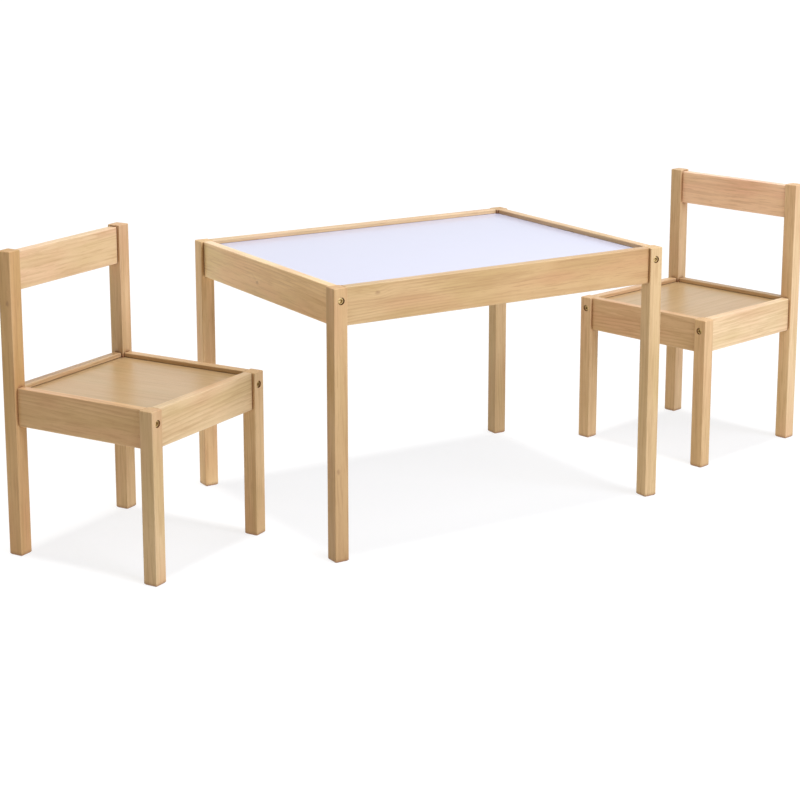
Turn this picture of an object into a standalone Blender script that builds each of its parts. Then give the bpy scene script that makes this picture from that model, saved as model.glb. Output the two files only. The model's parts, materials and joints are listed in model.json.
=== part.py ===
"""A low play table and two small chairs in light solid wood, modelled in metres with +Z up.

All three pieces of furniture are built the same way. Four square legs carry four rails, which are set back a
little from the outside faces of the legs. A thin panel sits in a groove round the inside of the rails. The
front and back rails are glued to their legs on round pegs. Each side rail has one locating peg at each end
and is pulled tight by a socket-head bolt, which goes through the leg into a barrel nut lying across the rail.
A chair's back legs run on upwards as posts, with a backrest slat between them.

Seen from the front of a piece, left is -X and right is +X, and the front faces -Y. The table is drawn in that
position, and each chair is turned about its own centre on the floor.
"""
import math

import bmesh
import bpy
from mathutils import Matrix, Vector

# Overall sizes.
TABLE_LENGTH = 0.630
TABLE_DEPTH = 0.470
TABLE_HEIGHT = 0.430
CHAIR_WIDTH = 0.286
CHAIR_DEPTH = 0.285
SEAT_HEIGHT = 0.268
BACK_HEIGHT = 0.480

# Where the chairs stand, as an offset from the table's centre and the way each one faces.
LEFT_CHAIR_OFFSET = Vector((-0.530, 0.0105, 0.0))
LEFT_CHAIR_HEADING = math.radians(-62.3)
RIGHT_CHAIR_OFFSET = Vector((0.589, 0.0105, 0.0))
RIGHT_CHAIR_HEADING = math.radians(192.2)
FRONT_HEADING = math.radians(-90.0)

# Timber sections.
LEG = 0.024
LEG_EDGE = 0.0015
FOOT_CHAMFER = 0.0018
TOP_EASE = 0.0008
RAIL_HEIGHT = 0.060
RAIL_THICK = 0.015
RAIL_EDGE = 0.0012
RAIL_SETBACK = 0.0055
SLAT_DROP = 0.003
GAP = 0.0003

# The panel and the groove that holds it.
PANEL_THICK = 0.004
PANEL_RECESS = 0.0075
GROOVE_DEPTH = 0.005
PANEL_EDGE_PLAY = 0.0005

# Round pegs, by the height of each one below the top of its rail.
PEG_RADIUS = 0.003
PEG_LENGTH = 0.012
PEG_ROOT = 0.006
PEG_SIDES = 8
GLUED_PEGS = (0.028, 0.048)
LOCATING_PEGS = (0.038,)
SLAT_PEGS = (0.012, 0.048)

# M6 socket-head bolts and their barrel nuts.
BOLT_DROP = 0.020
BOLT_RADIUS = 0.003
BOLT_LENGTH = 0.050
HEAD_RADIUS = 0.005
HEAD_HEIGHT = 0.006
HEAD_EDGE = 0.0006
SOCKET_ACROSS_FLATS = 0.005
SOCKET_DEPTH = 0.003
COUNTERBORE_DEPTH = 0.0078
COUNTERBORE_RADIUS = HEAD_RADIUS + 0.0005
BOLT_SIDES = 12
NUT_RADIUS = 0.005
NUT_LENGTH = 0.011
NUT_FROM_RAIL_END = 0.024
NUT_SLOT_WIDTH = 0.0012
NUT_SLOT_DEPTH = 0.0016
BOLT_HOLE_DEPTH = 0.036
HOLE_SIDES = 8

# Colours as linear RGB, with roughness and metallic values.
LEG_WOOD = ("leg_wood", (0.68, 0.43, 0.21), 0.50, 0.0)
RAIL_WOOD = ("rail_wood", (0.72, 0.47, 0.24), 0.50, 0.0)
PANEL_WOOD = ("seat_panel_wood", (0.62, 0.42, 0.24), 0.45, 0.0)
PANEL_WHITE = ("top_panel_white", (0.78, 0.81, 0.92), 0.25, 0.0)
BOLT_METAL = ("bolt_metal", (0.66, 0.48, 0.22), 0.35, 1.0)
NUT_METAL = ("nut_metal", (0.70, 0.70, 0.70), 0.35, 1.0)

SHARP_ANGLE = math.radians(50.0)
ALONG_X = Matrix(((0, 0, 1, 0), (1, 0, 0, 0), (0, 1, 0, 0), (0, 0, 0, 1)))


def clear_scene():
    """Remove whatever the scene holds."""
    for obj in list(bpy.data.objects):
        bpy.data.objects.remove(obj, do_unlink=True)


def material(recipe):
    """Return the Principled material of a recipe, made on its first use."""
    name, colour, roughness, metallic = recipe
    found = bpy.data.materials.get(name)
    if found:
        return found
    made = bpy.data.materials.new(name)
    made.use_nodes = True
    shader = made.node_tree.nodes["Principled BSDF"]
    shader.inputs["Base Color"].default_value = (*colour, 1.0)
    shader.inputs["Roughness"].default_value = roughness
    shader.inputs["Metallic"].default_value = metallic
    return made


def arc(centre, radius, start, segments):
    """Points of a quarter circle, counter-clockwise from the start angle."""
    step = math.pi / 2 / segments
    angles = [start + step * k for k in range(segments + 1)]
    return [(centre[0] + radius * math.cos(a), centre[1] + radius * math.sin(a)) for a in angles]


def rounded_rectangle(width, depth, radius, segments=2):
    """Outline of a rectangle round the origin, with rounded corners."""
    x = width / 2 - radius
    y = depth / 2 - radius
    corners = ((x, y), (-x, y), (-x, -y), (x, -y))
    outline = []
    for k, corner in enumerate(corners):
        outline += arc(corner, radius, k * math.pi / 2, segments)
    return outline


def circle(radius, sides):
    """Outline of a circle round the origin."""
    return [(radius * math.cos(2 * math.pi * k / sides), radius * math.sin(2 * math.pi * k / sides))
            for k in range(sides)]


def hexagon(across_flats, sides):
    """Outline of a hexagon, with its points at the same angles as a circle of that many sides."""
    outline = []
    for k in range(sides):
        angle = 2 * math.pi * k / sides
        from_flat = (angle + math.pi / 6) % (math.pi / 3) - math.pi / 6
        radius = across_flats / 2 / math.cos(from_flat)
        outline.append((radius * math.cos(angle), radius * math.sin(angle)))
    return outline


def loft(levels):
    """Closed solid through outlines with equal numbers of points, given as (height, outline)."""
    solid = bmesh.new()
    rings = [[solid.verts.new((x, y, z)) for x, y in outline] for z, outline in levels]
    count = len(rings[0])
    for low, high in zip(rings, rings[1:]):
        for k in range(count):
            n = (k + 1) % count
            solid.faces.new((low[k], low[n], high[n], high[k]))
    solid.faces.new(reversed(rings[0]))
    solid.faces.new(rings[-1])
    return solid


def rod(radius, start, end, sides=HOLE_SIDES, tip=0.0):
    """Round rod between two points, with an optional chamfer at its far end."""
    axis = end - start
    levels = [(0.0, circle(radius, sides)), (axis.length - tip, circle(radius, sides))]
    if tip:
        levels.append((axis.length, circle(radius - tip, sides)))
    solid = loft(levels)
    turn = Vector((0, 0, 1)).rotation_difference(axis).to_matrix().to_4x4()
    solid.transform(Matrix.Translation(start) @ turn)
    return solid


def joined(solids):
    """Put separate solids into one bmesh."""
    whole = bmesh.new()
    for solid in solids:
        spare = bpy.data.meshes.new("spare")
        solid.to_mesh(spare)
        solid.free()
        whole.from_mesh(spare)
        bpy.data.meshes.remove(spare)
    return whole


def add_object(name, solid):
    """Turn a bmesh into an object at the origin."""
    mesh = bpy.data.meshes.new(name)
    solid.to_mesh(mesh)
    solid.free()
    obj = bpy.data.objects.new(name, mesh)
    bpy.context.scene.collection.objects.link(obj)
    return obj


def carve(piece, tools, operation):
    """Cut a piece with some solids, or join them to it, and keep the result as the piece's own mesh."""
    tool = add_object("tool", joined(tools))
    change = piece.modifiers.new("carve", "BOOLEAN")
    change.solver = "EXACT"
    change.operation = operation
    change.object = tool
    graph = bpy.context.evaluated_depsgraph_get()
    result = bpy.data.meshes.new_from_object(piece.evaluated_get(graph))
    piece.modifiers.clear()
    before = piece.data
    piece.data = result
    result.name = piece.name
    bpy.data.meshes.remove(before)
    spare = tool.data
    bpy.data.objects.remove(tool, do_unlink=True)
    bpy.data.meshes.remove(spare)


def finish(piece, recipe, parent, location, turn=(0.0, 0.0, 0.0)):
    """Give a piece its material and shading, and put it in its place under its parent."""
    piece.data.materials.clear()
    piece.data.materials.append(material(recipe))
    piece.data.shade_smooth()
    piece.data.set_sharp_from_angle(angle=SHARP_ANGLE)
    piece.parent = parent
    piece.location = location
    piece.rotation_euler = turn


def bolt_bore(side):
    """Stepped hole for a bolt through a leg, from its outer face at Y = side * LEG / 2."""
    outer = side * LEG / 2
    head_seat = outer - side * COUNTERBORE_DEPTH
    past = side * 2 * GAP
    wide = [(abs(outer + past - head_seat), circle(COUNTERBORE_RADIUS, BOLT_SIDES)),
            (0.0, circle(COUNTERBORE_RADIUS, BOLT_SIDES))]
    narrow_length = LEG - COUNTERBORE_DEPTH + 2 * GAP
    narrow = [(0.0, circle(BOLT_RADIUS + GAP, BOLT_SIDES)),
              (-narrow_length, circle(BOLT_RADIUS + GAP, BOLT_SIDES))]
    bore = loft(list(reversed(wide + narrow)))
    turn = Matrix.Rotation(-side * math.pi / 2, 4, "X")
    bore.transform(Matrix.Translation((0.0, head_seat, 0.0)) @ turn)
    return bore


def leg(name, parent, place, side, height, frame_top, slat_top=None):
    """One leg or back post, with its peg sockets and the stepped hole for its bolt.

    Side is the leg's corner as a pair of signs, and the joints are placed from the top of the rails. A post
    also takes the pegs of the backrest slat, below the slat's top edge.
    """
    piece = add_object(name, loft([
        (0.0, rounded_rectangle(LEG - 2 * FOOT_CHAMFER, LEG - 2 * FOOT_CHAMFER, LEG_EDGE)),
        (FOOT_CHAMFER, rounded_rectangle(LEG, LEG, LEG_EDGE)),
        (height - TOP_EASE, rounded_rectangle(LEG, LEG, LEG_EDGE)),
        (height, rounded_rectangle(LEG - 2 * TOP_EASE, LEG - 2 * TOP_EASE, LEG_EDGE)),
    ]))
    inward_x, inward_y = -side[0], -side[1]
    rail_line = RAIL_SETBACK + RAIL_THICK / 2 - LEG / 2
    peg_x = inward_x * rail_line
    peg_y = inward_y * rail_line
    face = LEG / 2 + GAP / 2
    depth = LEG / 2 - PEG_LENGTH - GAP
    socket = PEG_RADIUS + GAP
    holes = []
    for drop in GLUED_PEGS:
        z = frame_top - drop
        holes.append(rod(socket, Vector((inward_x * depth, peg_y, z)), Vector((inward_x * face, peg_y, z))))
    for drop in LOCATING_PEGS:
        z = frame_top - drop
        holes.append(rod(socket, Vector((peg_x, inward_y * depth, z)), Vector((peg_x, inward_y * face, z))))
    if slat_top:
        slat_y = RAIL_SETBACK + RAIL_THICK / 2 - LEG / 2
        for drop in SLAT_PEGS:
            z = slat_top - drop
            holes.append(rod(socket, Vector((inward_x * depth, slat_y, z)),
                             Vector((inward_x * face, slat_y, z))))
    bore = bolt_bore(side[1])
    bore.transform(Matrix.Translation((peg_x, 0.0, frame_top - BOLT_DROP)))
    carve(piece, holes + [bore], "DIFFERENCE")
    finish(piece, LEG_WOOD, parent, place)


def rail_outline(grooved):
    """Cross-section of a rail, in (across, up) from the middle of its top edge, with its inner side at +."""
    x = RAIL_THICK / 2 - RAIL_EDGE
    low = -RAIL_HEIGHT + RAIL_EDGE
    right = math.radians(0.0)
    outline = arc((x, low), RAIL_EDGE, right - math.pi / 2, 2)
    if grooved:
        groove_top = -PANEL_RECESS + GAP
        groove_low = -PANEL_RECESS - PANEL_THICK - GAP
        face = RAIL_THICK / 2
        outline += [(face, groove_low), (face - GROOVE_DEPTH, groove_low),
                    (face - GROOVE_DEPTH, groove_top), (face, groove_top)]
    outline += arc((x, -RAIL_EDGE), RAIL_EDGE, right, 2)
    outline += arc((-x, -RAIL_EDGE), RAIL_EDGE, right + math.pi / 2, 2)
    outline += arc((-x, low), RAIL_EDGE, right + math.pi, 2)
    return outline


def rail_blank(name, length, grooved, pegs):
    """A rail or slat along X, with round pegs standing out of both ends."""
    outline = rail_outline(grooved)
    bar = loft([(-length / 2, outline), (length / 2, outline)])
    bar.transform(ALONG_X)
    piece = add_object(name, bar)
    studs = []
    for end in (-1, 1):
        for drop in pegs:
            root = Vector((end * (length / 2 - PEG_ROOT), 0.0, -drop))
            point = Vector((end * (length / 2 + PEG_LENGTH - GAP), 0.0, -drop))
            studs.append(rod(PEG_RADIUS, root, point, PEG_SIDES, tip=PEG_RADIUS / 4))
    carve(piece, studs, "UNION")
    return piece


def bore_for_bolts(piece, length):
    """Drill both ends of a side rail for the bolts, and its inner face for the barrel nuts."""
    bolts = []
    nuts = []
    for end in (-1, 1):
        mouth = Vector((end * (length / 2 + GAP), 0.0, -BOLT_DROP))
        bottom = Vector((end * (length / 2 - BOLT_HOLE_DEPTH), 0.0, -BOLT_DROP))
        bolts.append(rod(BOLT_RADIUS + GAP, mouth, bottom))
        across = end * (length / 2 - NUT_FROM_RAIL_END)
        inside = Vector((across, RAIL_THICK / 2 + GAP, -BOLT_DROP))
        blind = Vector((across, -NUT_LENGTH / 2 - GAP, -BOLT_DROP))
        nuts.append(rod(NUT_RADIUS + GAP, inside, blind, BOLT_SIDES))
    carve(piece, bolts, "DIFFERENCE")
    carve(piece, nuts, "DIFFERENCE")


def panel(name, parent, width, depth, frame_top, recipe):
    """The thin panel in the rails' grooves, notched round the inner corners of the legs."""
    inset = RAIL_SETBACK + RAIL_THICK - GROOVE_DEPTH + PANEL_EDGE_PLAY
    notch = LEG + GAP
    x, y = width / 2 - inset, depth / 2 - inset
    nx, ny = width / 2 - notch, depth / 2 - notch
    outline = [(x, ny), (nx, ny), (nx, y), (-nx, y), (-nx, ny), (-x, ny),
               (-x, -ny), (-nx, -ny), (-nx, -y), (nx, -y), (nx, -ny), (x, -ny)]
    piece = add_object(name, loft([(-PANEL_THICK, outline), (0.0, outline)]))
    finish(piece, recipe, parent, (0.0, 0.0, frame_top - PANEL_RECESS))


def bolt_mesh():
    """The shared mesh of the bolts, with its axis on Z and the top of its head at the origin."""
    shank = circle(BOLT_RADIUS, BOLT_SIDES)
    hexed = hexagon(SOCKET_ACROSS_FLATS, BOLT_SIDES)
    body = add_object("bolt", loft([
        (-HEAD_HEIGHT - BOLT_LENGTH, circle(BOLT_RADIUS - HEAD_EDGE, BOLT_SIDES)),
        (-HEAD_HEIGHT - BOLT_LENGTH + HEAD_EDGE, shank),
        (-HEAD_HEIGHT, shank),
        (-HEAD_HEIGHT, circle(HEAD_RADIUS, BOLT_SIDES)),
        (-HEAD_EDGE, circle(HEAD_RADIUS, BOLT_SIDES)),
        (0.0, circle(HEAD_RADIUS - HEAD_EDGE, BOLT_SIDES)),
        (0.0, hexed),
        (-SOCKET_DEPTH, hexed),
    ]))
    return take_mesh(body)


def barrel_nut_mesh():
    """The shared mesh of the barrel nuts, lying along Y, crossed by its bolt hole and slotted at its end."""
    half = NUT_LENGTH / 2
    nut = add_object("nut", rod(NUT_RADIUS, Vector((0, -half, 0)), Vector((0, half, 0)), BOLT_SIDES,
                                tip=HEAD_EDGE))
    reach = NUT_RADIUS + GAP
    cross = rod(BOLT_RADIUS + GAP, Vector((-reach, 0, 0)), Vector((reach, 0, 0)))
    slot = loft([(-reach, rounded_rectangle(NUT_SLOT_WIDTH, 2 * NUT_SLOT_DEPTH, NUT_SLOT_WIDTH / 8, 1)),
                 (reach, rounded_rectangle(NUT_SLOT_WIDTH, 2 * NUT_SLOT_DEPTH, NUT_SLOT_WIDTH / 8, 1))])
    slot.transform(Matrix.Translation((0.0, half, 0.0)))
    carve(nut, [cross], "DIFFERENCE")
    carve(nut, [slot], "DIFFERENCE")
    return take_mesh(nut)


def take_mesh(obj):
    """Remove an object and return its mesh."""
    mesh = obj.data
    mesh.use_fake_user = True
    bpy.data.objects.remove(obj, do_unlink=True)
    return mesh


def add_shared(name, mesh, recipe, parent, location, turn):
    """Place one copy of a shared mesh."""
    piece = bpy.data.objects.new(name, mesh)
    bpy.context.scene.collection.objects.link(piece)
    finish(piece, recipe, parent, location, turn)


def corner_name(side):
    """Name of a corner, such as front_left."""
    return f"{'front' if side[1] < 0 else 'back'}_{'left' if side[0] < 0 else 'right'}"


def frame(prefix, parent, width, depth, frame_top, hardware):
    """The rails of one piece of furniture, with the bolts and barrel nuts that pull them together."""
    across = width - 2 * LEG - 2 * GAP
    along = depth - 2 * LEG - 2 * GAP
    rail_x = width / 2 - RAIL_SETBACK - RAIL_THICK / 2
    rail_y = depth / 2 - RAIL_SETBACK - RAIL_THICK / 2
    for end, sign in (("front", -1), ("back", 1)):
        piece = rail_blank(f"{prefix}_rail_{end}", across, True, GLUED_PEGS)
        turn = 0.0 if sign < 0 else math.pi
        finish(piece, RAIL_WOOD, parent, (0.0, sign * rail_y, frame_top), (0.0, 0.0, turn))
    for end, sign in (("left", -1), ("right", 1)):
        piece = rail_blank(f"{prefix}_rail_{end}", along, True, LOCATING_PEGS)
        bore_for_bolts(piece, along)
        turn = sign * math.pi / 2
        finish(piece, RAIL_WOOD, parent, (sign * rail_x, 0.0, frame_top), (0.0, 0.0, turn))
    bolt, nut = hardware
    head_y = depth / 2 - COUNTERBORE_DEPTH + GAP + HEAD_HEIGHT
    nut_y = along / 2 - NUT_FROM_RAIL_END
    z = frame_top - BOLT_DROP
    for sx in (-1, 1):
        for sy in (-1, 1):
            corner = corner_name((sx, sy))
            add_shared(f"{prefix}_bolt_{corner}", bolt, BOLT_METAL, parent,
                       (sx * rail_x, sy * head_y, z), (-sy * math.pi / 2, 0.0, 0.0))
            add_shared(f"{prefix}_barrel_nut_{corner}", nut, NUT_METAL, parent,
                       (sx * rail_x, sy * nut_y, z), (0.0, 0.0, sx * math.pi / 2))


def table(centre, hardware):
    """The table: four legs of one height, four rails and the white top panel."""
    base = add_base("table", centre, FRONT_HEADING)
    reach_x, reach_y = (TABLE_LENGTH - LEG) / 2, (TABLE_DEPTH - LEG) / 2
    for sx in (-1, 1):
        for sy in (-1, 1):
            leg(f"table_leg_{corner_name((sx, sy))}", base, (sx * reach_x, sy * reach_y, 0.0), (sx, sy),
                TABLE_HEIGHT, TABLE_HEIGHT)
    frame("table", base, TABLE_LENGTH, TABLE_DEPTH, TABLE_HEIGHT, hardware)
    panel("table_top_panel", base, TABLE_LENGTH, TABLE_DEPTH, TABLE_HEIGHT, PANEL_WHITE)


def chair(prefix, centre, heading, hardware):
    """A chair: two front legs, two back posts, four rails, the seat panel and the backrest slat."""
    base = add_base(prefix, centre, heading)
    reach_x, reach_y = (CHAIR_WIDTH - LEG) / 2, (CHAIR_DEPTH - LEG) / 2
    slat_top = BACK_HEIGHT - SLAT_DROP
    for sx in (-1, 1):
        hand = "left" if sx < 0 else "right"
        leg(f"{prefix}_front_leg_{hand}", base, (sx * reach_x, -reach_y, 0.0), (sx, -1),
            SEAT_HEIGHT, SEAT_HEIGHT)
        leg(f"{prefix}_back_post_{hand}", base, (sx * reach_x, reach_y, 0.0), (sx, 1),
            BACK_HEIGHT, SEAT_HEIGHT, slat_top)
    frame(prefix, base, CHAIR_WIDTH, CHAIR_DEPTH, SEAT_HEIGHT, hardware)
    panel(f"{prefix}_seat_panel", base, CHAIR_WIDTH, CHAIR_DEPTH, SEAT_HEIGHT, PANEL_WOOD)
    slat = rail_blank(f"{prefix}_backrest_slat", CHAIR_WIDTH - 2 * LEG - 2 * GAP, False, SLAT_PEGS)
    slat_y = CHAIR_DEPTH / 2 - LEG + RAIL_SETBACK + RAIL_THICK / 2
    finish(slat, RAIL_WOOD, base, (0.0, slat_y, slat_top))


def add_base(name, centre, heading):
    """Empty on the floor at the middle of a piece of furniture, turned to face its heading."""
    base = bpy.data.objects.new(name, None)
    bpy.context.scene.collection.objects.link(base)
    base.location = centre
    base.rotation_euler = (0.0, 0.0, heading - FRONT_HEADING)
    return base


def chair_reach(heading):
    """Half of a turned chair's extent along X."""
    return CHAIR_DEPTH / 2 * abs(math.cos(heading)) + CHAIR_WIDTH / 2 * abs(math.sin(heading))


def main():
    """Build the table with its middle placed so that the whole set is centred on X = 0."""
    clear_scene()
    left_end = LEFT_CHAIR_OFFSET.x - chair_reach(LEFT_CHAIR_HEADING)
    right_end = RIGHT_CHAIR_OFFSET.x + chair_reach(RIGHT_CHAIR_HEADING)
    centre = Vector((-(left_end + right_end) / 2, 0.0, 0.0))
    hardware = (bolt_mesh(), barrel_nut_mesh())
    table(centre, hardware)
    chair("left_chair", centre + LEFT_CHAIR_OFFSET, LEFT_CHAIR_HEADING, hardware)
    chair("right_chair", centre + RIGHT_CHAIR_OFFSET, RIGHT_CHAIR_HEADING, hardware)


if __name__ == "__main__":
    main()
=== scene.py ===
"""A low play table and two small chairs in light solid wood, dressed for the studio.

Every timber piece is a bar with eased edges, cut by the holes and grooves of its joints. It carries three
coordinates of its own, where it lay in the log, where its edges are and how far a point is from its knot,
and a tone that holds painted light and shade besides the board's own colour. The wood finish reads those, and
adds painted shade in the joints from an ambient-occlusion node. Bolts, barrel nuts and dowels are repeated by
node trees.
"""

import json
import logging
import math
from collections.abc import Callable
from dataclasses import dataclass, field
from enum import Enum

import bmesh
import bpy
from mathutils import Euler, Matrix, Vector

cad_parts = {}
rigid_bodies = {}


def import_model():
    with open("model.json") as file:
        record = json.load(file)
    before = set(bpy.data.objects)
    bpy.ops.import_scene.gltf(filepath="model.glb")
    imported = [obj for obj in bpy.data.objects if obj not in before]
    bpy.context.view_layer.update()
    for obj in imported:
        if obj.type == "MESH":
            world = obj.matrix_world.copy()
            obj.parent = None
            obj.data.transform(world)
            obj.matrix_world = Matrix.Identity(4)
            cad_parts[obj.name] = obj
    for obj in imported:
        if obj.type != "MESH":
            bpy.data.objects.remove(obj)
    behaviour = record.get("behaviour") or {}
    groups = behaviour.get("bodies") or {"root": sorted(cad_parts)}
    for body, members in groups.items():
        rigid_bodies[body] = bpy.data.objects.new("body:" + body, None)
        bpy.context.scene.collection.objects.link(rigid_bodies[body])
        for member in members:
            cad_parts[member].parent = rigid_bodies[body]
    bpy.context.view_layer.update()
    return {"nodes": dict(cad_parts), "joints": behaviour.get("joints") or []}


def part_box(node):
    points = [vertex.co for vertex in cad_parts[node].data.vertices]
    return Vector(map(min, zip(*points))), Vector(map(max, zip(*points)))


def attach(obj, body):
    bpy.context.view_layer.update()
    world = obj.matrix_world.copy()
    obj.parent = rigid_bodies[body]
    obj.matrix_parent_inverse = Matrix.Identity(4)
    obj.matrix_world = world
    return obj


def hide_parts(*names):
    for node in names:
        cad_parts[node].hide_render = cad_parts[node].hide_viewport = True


for leftover in list(bpy.data.objects):
    bpy.data.objects.remove(leftover, do_unlink=True)
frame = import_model()

LOG = logging.getLogger("play_set")
MM = 0.001
FAR_AWAY = Vector((9.0, 9.0, 9.0))

Colour = tuple[float, float, float]
Triple = tuple[float, float, float]
Outline = list[tuple[float, float]]
Socket = bpy.types.NodeSocket
Value = Socket | float | Triple

WHITE: Colour = (1.0, 1.0, 1.0)


class Grain(Enum):
    """Which way a bar's grain runs, as the turn from a bar that stands upright."""

    UPRIGHT = (0.0, 0.0, 0.0)
    ACROSS = (math.pi / 2, 0.0, math.pi / 2)
    ALONG = (math.pi / 2, 0.0, math.pi)

    def section(self, size: Vector) -> tuple[float, float, float]:
        """Return a bar's thickness, width and length from the size of its box.

        Args:
            size: The box of the bar, in the furniture's own axes.

        Returns:
            Thickness, width and length in metres.
        """
        if self is Grain.UPRIGHT:
            return size.x, size.y, size.z
        if self is Grain.ACROSS:
            return size.y, size.z, size.x
        return size.x, size.z, size.y


class Corner(Enum):
    """A corner of a piece of furniture, as the signs of its X and Y."""

    FRONT_LEFT = (-1, -1)
    FRONT_RIGHT = (1, -1)
    BACK_LEFT = (-1, 1)
    BACK_RIGHT = (1, 1)

    @property
    def word(self) -> str:
        """The corner's part of a node name."""
        return self.name.lower()


class Graph:
    """A node tree that is put together with short calls."""

    def __init__(self, tree: bpy.types.NodeTree) -> None:
        """Keep the tree to build on."""
        self.tree = tree

    def add(self, kind: str, sockets: dict | None = None, **settings: object) -> bpy.types.Node:
        """Add a node, and link or set its inputs.

        Args:
            kind: The node's type name.
            sockets: Input names or indices, each with another node's output or a plain value.
            **settings: Properties of the node itself.

        Returns:
            The new node.
        """
        node = self.tree.nodes.new(kind)
        for name, value in settings.items():
            setattr(node, name, value)
        for key, value in (sockets or {}).items():
            self.drive(node, key, value)
        return node

    def drive(self, node: bpy.types.Node, key: str | int, value: object) -> None:
        """Link or set one input of a node.

        Args:
            node: The node.
            key: The input's name or index.
            value: Another node's output, or a plain value.
        """
        if isinstance(value, Socket):
            self.tree.links.new(value, node.inputs[key])
        else:
            node.inputs[key].default_value = value

    def math(self, operation: str, *values: Value) -> Socket:
        """Add a Math node and return its result."""
        return self.add("ShaderNodeMath", dict(enumerate(values)), operation=operation).outputs[0]

    def vector(self, operation: str, *values: Value, out: str = "Vector") -> Socket:
        """Add a Vector Math node and return its named output."""
        return self.add("ShaderNodeVectorMath", dict(enumerate(values)), operation=operation).outputs[out]

    def split(self, value: Socket) -> tuple[Socket, ...]:
        """Return the X, Y and Z of a vector."""
        return tuple(self.add("ShaderNodeSeparateXYZ", {0: value}).outputs)

    def join(self, **parts: Value) -> Socket:
        """Return a vector from its X, Y and Z, each 0 where it isn't given."""
        return self.add("ShaderNodeCombineXYZ", parts).outputs[0]

    def noise(self, point: Socket, scale: Triple, detail: float) -> Socket:
        """Return noise at a point that is first stretched along each axis."""
        return self.clouds(self.vector("MULTIPLY", point, scale), 1.0, detail)

    def clouds(self, point: Socket, scale: float, detail: float) -> Socket:
        """Return noise at a point."""
        sockets = {"Vector": point, "Scale": scale, "Detail": detail}
        return self.add("ShaderNodeTexNoise", sockets).outputs["Fac"]

    def step(self, value: Socket, low: float, high: float) -> Socket:
        """Return a smooth step from 0 at the low value to 1 at the high one."""
        limits = {"Value": value, "From Min": low, "From Max": high}
        return self.add("ShaderNodeMapRange", limits, interpolation_type="SMOOTHSTEP").outputs["Result"]

    def mix(self, first: Socket | Colour, second: Socket | Colour, share: Socket) -> Socket:
        """Mix two colours.

        Args:
            first: The colour at a share of 0.
            second: The colour at a share of 1.
            share: How much of the second colour there is.

        Returns:
            The mixed colour.
        """
        node = self.add("ShaderNodeMix", {"Factor": share}, data_type="RGBA")
        for key, value in ((6, first), (7, second)):
            self.drive(node, key, value if isinstance(value, Socket) else (*value, 1.0))
        return node.outputs[2]

    def relief(self, shader: bpy.types.Node, height: Socket, strength: float, distance: float) -> None:
        """Give a shader a bump from a height."""
        bump = self.add("ShaderNodeBump", {"Height": height, "Strength": strength, "Distance": distance})
        self.drive(shader, "Normal", bump.outputs[0])


class ShapeTree(Graph):
    """A Geometry Nodes tree with named inputs that leaves one plain mesh."""

    def __init__(self, name: str) -> None:
        """Start an empty tree with a geometry output and a material input.

        Args:
            name: The tree's name.
        """
        tree = bpy.data.node_groups.new(name, "GeometryNodeTree")
        super().__init__(tree)
        tree.interface.new_socket("Shape", in_out="OUTPUT", socket_type="NodeSocketGeometry")
        self.source = tree.nodes.new("NodeGroupInput")
        self.finish = self.need("Finish", "NodeSocketMaterial")

    def need(self, name: str, kind: str) -> Socket:
        """Add a named input.

        Args:
            name: The input's name.
            kind: Its socket type.

        Returns:
            The output of the group's input node that gives its value.
        """
        self.tree.interface.new_socket(name, in_out="INPUT", socket_type=kind)
        return self.source.outputs[name]

    def sizes(self, *names: str) -> list[Socket]:
        """Add several number inputs and return them in order."""
        return [self.need(name, "NodeSocketFloat") for name in names]

    def vectors(self, *names: str) -> list[Socket]:
        """Add several vector inputs and return them in order."""
        return [self.need(name, "NodeSocketVector") for name in names]

    def corners(self, across: Socket, along: Socket) -> Socket:
        """Return four points, at the corners of a rectangle round the origin."""
        sides = {"Size X": across, "Size Y": along, "Vertices X": 2, "Vertices Y": 2}
        return self.add("GeometryNodeMeshGrid", sides).outputs[0]

    def turned(self, angles: Socket) -> Socket:
        """Return a rotation from three angles."""
        return self.add("FunctionNodeEulerToRotation", {0: angles}).outputs[0]

    def copies(self, points: Socket, piece: Socket, **settings: Socket) -> Socket:
        """Return a copy of a piece on each point."""
        return self.add("GeometryNodeInstanceOnPoints",
                        {"Points": points, "Instance": piece, **settings}).outputs[0]

    def close(self, geometry: Socket) -> None:
        """Realize the geometry, set its material and send it to the output.

        Args:
            geometry: The finished shape.
        """
        real = self.add("GeometryNodeRealizeInstances", {0: geometry}).outputs[0]
        dressed = self.add("GeometryNodeSetMaterial", {"Geometry": real, "Material": self.finish})
        sink = self.tree.nodes.new("NodeGroupOutput")
        self.tree.links.new(dressed.outputs[0], sink.inputs[0])

    def run(self, name: str, values: dict) -> bpy.types.Mesh:
        """Evaluate the tree once and keep the result as a mesh.

        Args:
            name: The new mesh's name.
            values: A value for each named input.

        Returns:
            The mesh, in the tree's own coordinates.
        """
        holder = add_object(name, bpy.data.meshes.new("empty"))
        modifier = holder.modifiers.new("shape", "NODES")
        modifier.node_group = self.tree
        for item in self.tree.interface.items_tree:
            if item.item_type == "SOCKET" and item.in_out == "INPUT":
                modifier[item.identifier] = values[item.name]
        mesh = evaluated_mesh(holder)
        remove_object(holder)
        mesh.name = name
        return mesh


def add_object(name: str, mesh: bpy.types.Mesh) -> bpy.types.Object:
    """Put a mesh in the scene as an object at the origin.

    Args:
        name: The object's name.
        mesh: Its mesh.

    Returns:
        The object.
    """
    piece = bpy.data.objects.new(name, mesh)
    bpy.context.scene.collection.objects.link(piece)
    return piece


def remove_object(piece: bpy.types.Object) -> None:
    """Remove an object together with its mesh.

    Args:
        piece: The object.
    """
    mesh = piece.data
    bpy.data.objects.remove(piece, do_unlink=True)
    bpy.data.meshes.remove(mesh)


def evaluated_mesh(piece: bpy.types.Object) -> bpy.types.Mesh:
    """Return a new mesh with the piece's modifiers applied."""
    graph = bpy.context.evaluated_depsgraph_get()
    return bpy.data.meshes.new_from_object(piece.evaluated_get(graph), depsgraph=graph)


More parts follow.
